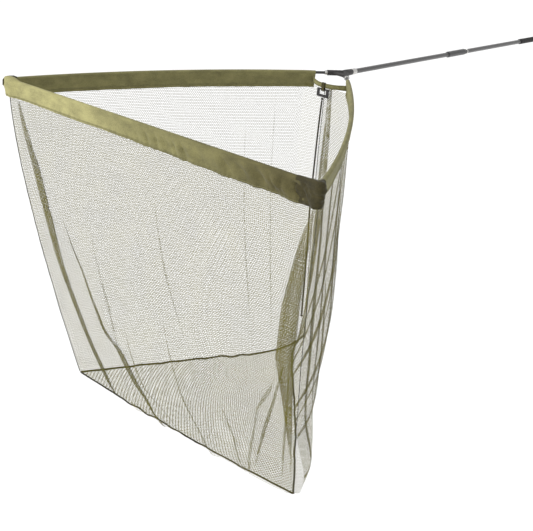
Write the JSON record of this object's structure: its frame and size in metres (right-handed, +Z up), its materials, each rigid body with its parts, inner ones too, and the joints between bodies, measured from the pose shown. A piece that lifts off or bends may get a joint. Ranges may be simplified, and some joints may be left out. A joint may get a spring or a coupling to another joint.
{
  "type": "landing net",
  "caption": "Long-handled fishing landing net: triangular mouth of two bowed arms and a front cord, fabric sleeves and a deep mesh bag.",
  "frame": {"origin": "centre of the butt cap's flat end face", "axes": "+X from the butt towards the net, +Z up; the mouth of the net is level and the handle climbs to it at 3.4 degrees"},
  "size_m": [2.526, 1.0854, 0.952],
  "materials": {
    "carbon": "satin carbon tube",
    "rubber": "matt rubber",
    "black_sleeve": "matt black sleeve",
    "metal": "machined, satin",
    "block_plastic": "moulded, fine texture",
    "ring_plastic": "moulded, smooth",
    "olive_fabric": "woven polyester, olive",
    "dark_fabric": "woven reinforcement, dark olive",
    "olive_mesh": "knitted netting, open cells",
    "seam_binding": "dark bound seam",
    "cord": "braided cord"
  },
  "bodies": {
    "butt": {"butt_cap": "rubber", "butt_grip": "rubber", "butt_section": "carbon", "stop_ring": "metal"},
    "front": {"joint_ferrule": "black_sleeve", "front_section": "carbon", "front_collar": "metal", "thread_stud": "metal"},
    "seat": {"seat_ring": "rubber"},
    "head": {"spreader_block": "block_plastic", "rear_strip": "olive_fabric", "ring_tab": "dark_fabric", "retainer_cord": "cord", "knot_bottom": "cord", "front_cord": "cord", "front_hem": "olive_fabric", "panel_left": "olive_mesh", "panel_right": "olive_mesh", "panel_front": "olive_mesh", "panel_base": "olive_mesh", "base_seam_left": "seam_binding", "base_seam_right": "seam_binding", "base_seam_front": "seam_binding", "corner_seam_left": "seam_binding", "corner_seam_right": "seam_binding", "corner_seam_rear": "seam_binding"},
    "ring": {"retainer_ring": "ring_plastic", "knot_top": "cord"},
    "arm_left": {"arm_left": "carbon", "arm_ferrule_left": "metal", "arm_tip_left": "rubber", "cord_eye_left": "cord", "sleeve_left": "olive_fabric", "tip_pocket_left": "dark_fabric"},
    "arm_right": {"arm_right": "carbon", "arm_ferrule_right": "metal", "arm_tip_right": "rubber", "cord_eye_right": "cord", "sleeve_right": "olive_fabric", "tip_pocket_right": "dark_fabric"}
  },
  "joints": [
    {"name": "handle_pull", "type": "slide", "parent": "butt", "child": "front", "axis": [0.9982, 0, 0.0593], "range_m": [0, 0.062]},
    {"name": "seat_travel", "type": "slide", "parent": "front", "child": "seat", "axis": [0.9982, 0, 0.0593], "range_m": [0, 0.0128]},
    {"name": "head_screw", "type": "hinge", "parent": "seat", "child": "head", "pos_m": [1.57223, 0, 0.09341], "axis": [0.9982, 0, 0.0593], "range_deg": [0, 3600]},
    {"name": "arm_left_pull", "type": "slide", "parent": "head", "child": "arm_left", "axis": [0.7815, -0.6239, 0], "range_m": [0, 0.044]},
    {"name": "arm_right_pull", "type": "slide", "parent": "head", "child": "arm_right", "axis": [0.7815, 0.6239, 0], "range_m": [0, 0.044]},
    {"name": "ring_swing", "type": "hinge", "parent": "head", "child": "ring", "pos_m": [1.71118, 0, 0.06164], "axis": [0, 1, 0], "range_deg": [-70, 5]}
  ],
  "couplings": [
    {"joint": "seat_travel", "follows": "head_screw", "m_per_rad": 0.00020213}
  ]
}
